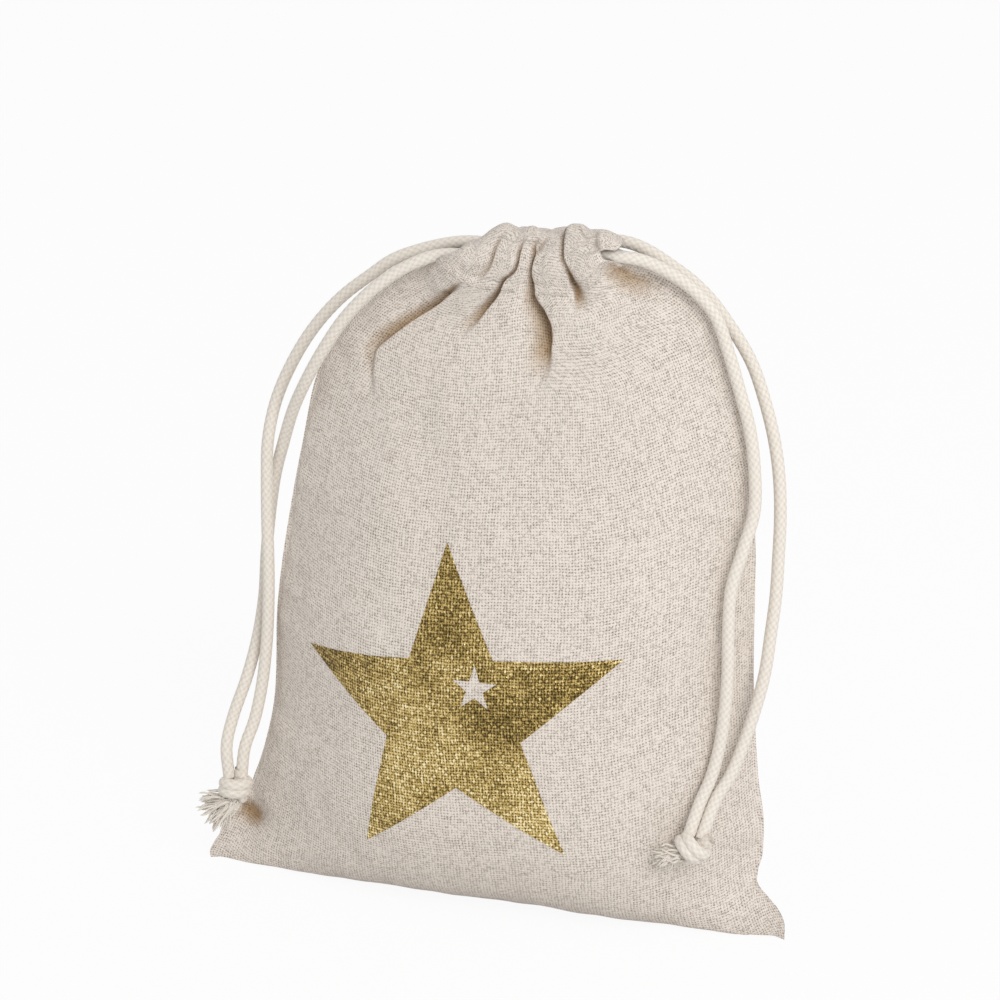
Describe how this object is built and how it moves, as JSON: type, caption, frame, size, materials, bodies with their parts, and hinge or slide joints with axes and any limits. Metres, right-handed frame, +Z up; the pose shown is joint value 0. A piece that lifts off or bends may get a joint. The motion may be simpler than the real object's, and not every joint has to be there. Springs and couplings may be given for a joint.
{
  "type": "drawstring gift sack",
  "caption": "Standing cotton drawstring gift sack, gathered shut by knotted drawcords, with a gold foil star printed on its front.",
  "frame": {"origin": "on the surface that the sack stands on, in the middle of the sack's box without its free cords", "axes": "+Z up; the printed front faces -Y; +X is on the right as one looks at the front"},
  "size_m": [0.1549, 0.0583, 0.1725],
  "materials": {
    "cloth": "undyed linen-look cotton, plain weave, matt",
    "thread": "sewing thread and overlocked edges, matt",
    "foil": "gold metallic foil print, broken up by the weave under it",
    "cord": "soft twisted cotton cord, matt"
  },
  "bodies": {
    "root": {"front_panel": "cloth", "back_panel": "cloth", "front_casing": "cloth", "back_casing": "cloth", "left_side_seam": "thread", "right_side_seam": "thread", "bottom_seam": "thread", "front_casing_stitching": "thread", "back_casing_stitching": "thread", "star_print": "foil", "left_cord_casing_run": "cord", "right_cord_casing_run": "cord"},
    "left_draw": {"left_front_cord_exit": "cord", "left_back_cord_exit": "cord"},
    "left_pull": {"left_front_strand": "cord", "left_back_strand": "cord", "left_knot": "cord", "left_tassel": "cord"},
    "right_draw": {"right_front_cord_exit": "cord", "right_back_cord_exit": "cord"},
    "right_pull": {"right_front_strand": "cord", "right_back_strand": "cord", "right_knot": "cord", "right_tassel": "cord"}
  },
  "joints": [
    {"name": "left_cord_draw", "type": "slide", "parent": "root", "child": "left_draw", "axis": [-1, 0, 0], "range_m": [0, 0.01]},
    {"name": "left_cord_swing", "type": "hinge", "parent": "left_draw", "child": "left_pull", "pos_m": [-0.014, 0.00532, 0.16265], "axis": [0, 1, 0], "range_deg": [0, 60]},
    {"name": "right_cord_draw", "type": "slide", "parent": "root", "child": "right_draw", "axis": [1, 0, 0], "range_m": [0, 0.01]},
    {"name": "right_cord_swing", "type": "hinge", "parent": "right_draw", "child": "right_pull", "pos_m": [0.028, 0.00532, 0.16595], "axis": [0, -1, 0], "range_deg": [0, 60]}
  ]
}
